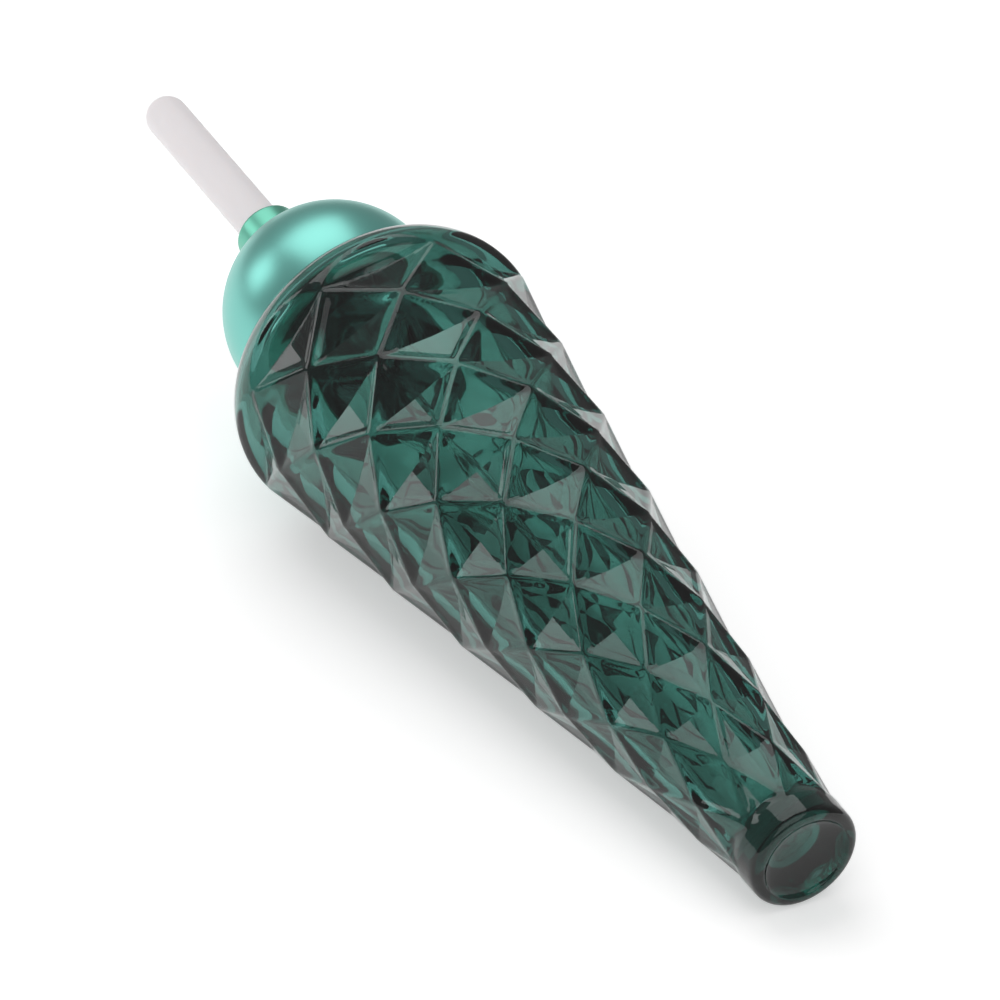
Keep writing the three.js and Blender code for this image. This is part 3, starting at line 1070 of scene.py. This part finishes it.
    def build(self, assembly: Assembly, glass: GlassBottle) -> None:
        """Makes and dresses the cap's pieces.

        Args:
            assembly: what the pieces are added to.
            glass: the bottle that the cap screws on.
        """
        assembly.add(self.shell(), "cap", "ball_shell", Finish.TEAL_ANODISED)
        assembly.add(self.liner(), "cap", "ball_liner", Finish.BLACK_PLASTIC)
        assembly.add(self.base_disc(), "cap", "ball_base_plate", Finish.BLACK_PLASTIC)
        assembly.add(self.threaded_cap(glass), "cap", "inner_cap", Finish.BLACK_PLASTIC)
        assembly.add(self.collar(), "cap", "collar_ring", Finish.GREEN_ANODISED)


# -------------------- dropper


@dataclass
class Dropper:
    """Bulb, pipette, washer and the wiper in the neck. Sizes in metres."""

    neck_top: float
    neck_bore: float
    collar_low: float
    collar_top: float
    gap: float = 0.3 * MM
    slide_gap: float = 0.4 * MM
    bulb_radius: float = 4.17 * MM
    bulb_wall: float = 1.55 * MM
    bulb_stand: float = 46.0 * MM
    flange_radius: float = 8.6 * MM
    flange: float = 1.5 * MM
    boot_radius: float = 5.6 * MM
    boot_bore: float = 3.75 * MM
    boot_slope: float = 1.85 * MM
    pipette_radius: float = 3.2 * MM
    pipette_bore: float = 2.2 * MM
    pipette_grip: float = 3.6 * MM
    pipette_depth: float = 84.0 * MM
    bead: float = 0.25 * MM
    tip_length: float = 14.0 * MM
    tip_radius: float = 1.5 * MM
    tip_bore: float = 0.75 * MM
    washer: float = 1.1 * MM
    washer_radius: float = 9.0 * MM
    wiper_flange: float = 0.8 * MM
    wiper_wall: float = 0.9 * MM
    wiper_depth: float = 8.0 * MM

    @property
    def wiper_top(self) -> float:
        """Top of the wiper's flange."""
        return self.neck_top + self.gap + self.wiper_flange

    @property
    def washer_top(self) -> float:
        """Top of the washer."""
        return self.wiper_top + self.gap + self.washer

    @property
    def flange_top(self) -> float:
        """Top of the bulb's flange."""
        return self.washer_top + self.gap + self.flange

    @property
    def pipette_top(self) -> float:
        """Top of the pipette, inside the boot."""
        return self.flange_top + self.pipette_grip

    def bulb(self) -> bpy.types.Object:
        """The long silicone bulb with its boot and flange.

        Returns:
            The bulb, upright.
        """
        bore = self.bulb_radius - self.bulb_wall
        middle = (0.0, self.collar_top + self.bulb_stand - self.bulb_radius)
        grip = self.pipette_top + self.gap
        finger = self.collar_low - self.gap
        low = self.washer_top + self.gap
        corners = [
            (self.boot_bore, grip, 0.2 * MM),
            (self.boot_bore, low, 0.2 * MM),
            (self.flange_radius, low, 0.4 * MM),
            (self.flange_radius, self.flange_top, 0.4 * MM),
            (self.boot_radius, self.flange_top, 0.5 * MM),
            (self.boot_radius, min(grip, finger - self.boot_slope), 0.8 * MM),
            (self.bulb_radius, finger, 0.8 * MM),
        ]
        wall = np.linspace(finger + 2 * MM, middle[1] - 2 * MM, 12)
        outline = softened(corners) + [(self.bulb_radius, float(z)) for z in wall]
        outline += arc(middle, self.bulb_radius, 0, 90, 18)[:-1]
        outline += [(0.0, middle[1] + self.bulb_radius), (0.0, middle[1] + bore)]
        outline += arc(middle, bore, 90, 0, 12)[1:]
        outline.append((bore, grip + 1.0 * MM))
        return turned("silicone_bulb", outline, 72)

    def pipette(self) -> bpy.types.Object:
        """The glass tube, drawn to a tip and beaded where the bulb grips it.

        Returns:
            The tube, upright.
        """
        tip, top = self.neck_top - self.pipette_depth, self.pipette_top
        shoulder = tip + self.tip_length
        corners = [
            (self.tip_bore, tip, 0.2 * MM),
            (self.tip_radius, tip, 0.3 * MM),
            (self.tip_radius + 0.15 * MM, tip + 0.4 * self.tip_length, 2 * MM),
            (self.pipette_radius, shoulder, 2 * MM),
            (self.pipette_radius, top - 0.9 * MM, 0.2 * MM),
            (self.pipette_radius + self.bead, top - 0.5 * MM, 0.2 * MM),
            (self.pipette_radius + 0.8 * self.bead, top, 0.3 * MM),
            (self.pipette_bore, top, 0.2 * MM),
            (self.pipette_bore, shoulder, 2 * MM),
            (self.tip_bore + 0.1 * MM, tip + 0.35 * self.tip_length, 2 * MM),
        ]
        return turned("glass_pipette", softened(corners, 5), 64, 50.0)

    def seal(self) -> bpy.types.Object:
        """The washer between bulb and neck.

        Returns:
            The washer, upright.
        """
        hole, rim = self.pipette_radius + self.slide_gap, self.washer_radius
        low, high = self.wiper_top + self.gap, self.washer_top
        corners = [
            (hole, low, 0.15 * MM),
            (rim, low, 0.3 * MM),
            (rim, high, 0.3 * MM),
            (hole, high, 0.15 * MM),
        ]
        return turned("seal_washer", softened(corners), 72)

    def wiper(self) -> bpy.types.Object:
        """The soft plug that strips the pipette as it comes out.

        Returns:
            The plug, upright.
        """
        plug, rim = self.neck_bore - self.gap, self.washer_radius - self.gap
        inside, lip = plug - self.wiper_wall, self.pipette_radius + self.slide_gap
        low, bottom = self.neck_top + self.gap, self.neck_top - self.wiper_depth
        floor = bottom + self.wiper_wall
        corners = [
            (rim, low, 0.15 * MM),
            (rim, self.wiper_top, 0.25 * MM),
            (inside, self.wiper_top, 0.3 * MM),
            (inside, floor, 0.6 * MM),
            (lip, floor, 0.25 * MM),
            (lip, bottom, 0.15 * MM),
            (plug, bottom, 0.6 * MM),
            (plug, low, 0.2 * MM),
        ]
        return turned("wiper_plug", softened(corners), 72)

    def build(self, assembly: Assembly) -> None:
        """Makes and dresses the dropper's pieces.

        Args:
            assembly: what the pieces are added to.
        """
        assembly.add(self.bulb(), "dropper", "rubber_bulb", Finish.WHITE_SILICONE)
        assembly.add(self.pipette(), "dropper", "pipette", Finish.CLEAR_GLASS)
        assembly.add(self.seal(), "dropper", "sealing_washer", Finish.SEAL_FOAM)
        assembly.add(self.wiper(), "bottle", "neck_wiper", Finish.NATURAL_PLASTIC)


# -------------------- studio


def direction(azimuth: float, elevation: float) -> Vector:
    """Unit vector from the bottle outwards; azimuth 0 is towards -Y, positive towards -X."""
    a, e = math.radians(azimuth), math.radians(elevation)
    return Vector((-math.sin(a) * math.cos(e), -math.cos(a) * math.cos(e), math.sin(e)))


@dataclass(frozen=True)
class SoftBox:
    """One square studio light. Angles in degrees, lengths in metres, power in watts."""

    name: str
    azimuth: float
    elevation: float
    distance: float
    side: float
    power: float

    def light(self, target: Vector) -> None:
        """Hangs the light round a target and aims it there.

        Args:
            target: the place it lights.
        """
        data = bpy.data.lights.new(self.name, "AREA")
        data.shape = "RECTANGLE"
        data.size = data.size_y = self.side
        data.energy = self.power
        lamp = bpy.data.objects.new(self.name, data)
        bpy.context.scene.collection.objects.link(lamp)
        away = direction(self.azimuth, self.elevation)
        lamp.location = target + away * self.distance
        lamp.rotation_euler = (-away).to_track_quat("-Z", "Y").to_euler()


@dataclass(frozen=True)
class Studio:
    """Softly glowing pale table, soft lights and the camera. Angles in degrees."""

    target: Vector = Vector((4.776 * MM, -6.521 * MM, 19.243 * MM))
    azimuth: float = 29.05
    elevation: float = 30.43
    roll: float = 0.27
    distance: float = 1071.4 * MM
    lens: float = 216.0
    sensor: float = 36.0
    nearest: float = 0.05
    table_size: float = 6.0
    table_drop: float = 0.05 * MM
    table_low: Colour = (0.90, 0.90, 0.90)
    table_high: Colour = (0.92, 0.92, 0.92)
    table_cloud: float = 3.0
    table_roughness: float = 0.9
    table_glow: float = 0.46
    sky: float = 0.34
    boxes: tuple[SoftBox, ...] = (
        SoftBox("top", 181.0, 62.0, 1.35, 1.15, 6.1),
        SoftBox("key", 138.0, 22.0, 1.2, 0.5, 1.5),
        SoftBox("fill", 15.0, 45.0, 1.6, 1.6, 6.6),
    )

    def camera(self) -> None:
        """Sets the camera on its line of sight."""
        data = bpy.data.cameras.new("camera")
        data.lens = self.lens
        data.sensor_width = self.sensor
        data.clip_start = self.nearest
        camera = bpy.data.objects.new("camera", data)
        bpy.context.scene.collection.objects.link(camera)
        away = direction(self.azimuth, self.elevation)
        camera.location = self.target + away * self.distance
        aim = (-away).to_track_quat("-Z", "Y").to_matrix()
        tilt = Matrix.Rotation(math.radians(self.roll), 3, "Z")
        camera.rotation_euler = (aim @ tilt).to_euler()
        bpy.context.scene.camera = camera

    def table(self) -> None:
        """Lays the pale table under the bottle."""
        bpy.ops.object.select_all(action="DESELECT")
        bpy.ops.mesh.primitive_plane_add(size=self.table_size, location=(0, 0, -self.table_drop))
        table = bpy.context.object
        table.name = "table"
        sheet = NodeSheet("pale_table")
        cloud = sheet.noise(sheet.place(), self.table_cloud)
        tone = sheet.blend(cloud, self.table_low, self.table_high)
        inputs = {
            "Base Color": tone,
            "Roughness": self.table_roughness,
            "Emission Color": tone,
            "Emission Strength": self.table_glow,
        }
        table.data.materials.append(sheet.principled(inputs))

    def room(self) -> None:
        """Sets the even light of the room."""
        world = bpy.data.worlds.new("room")
        world.use_nodes = True
        background = world.node_tree.nodes["Background"]
        background.inputs["Color"].default_value = (1, 1, 1, 1)
        background.inputs["Strength"].default_value = self.sky
        bpy.context.scene.world = world
        bpy.context.scene.view_settings.view_transform = "Standard"

    def build(self) -> None:
        """Sets the scene."""
        self.camera()
        self.table()
        self.room()
        for box in self.boxes:
            box.light(self.target)


# -------------------- main


def main() -> None:
    """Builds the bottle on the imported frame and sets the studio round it."""
    logging.basicConfig(level=logging.INFO, format="%(name)s %(message)s")
    Studio().build()
    glass = GlassBottle()
    cap = BallCap(glass.shoulder_top)
    dropper = Dropper(glass.neck_top, glass.neck_bore, cap.collar_low, cap.collar_top)
    assembly = Assembly(LyingAxis(cap.centre).placement())
    assembly.add(glass.build(), "bottle", "glass_bottle", Finish.GREEN_GLASS)
    cap.build(assembly, glass)
    dropper.build(assembly)


if __name__ == "__main__":
    main()
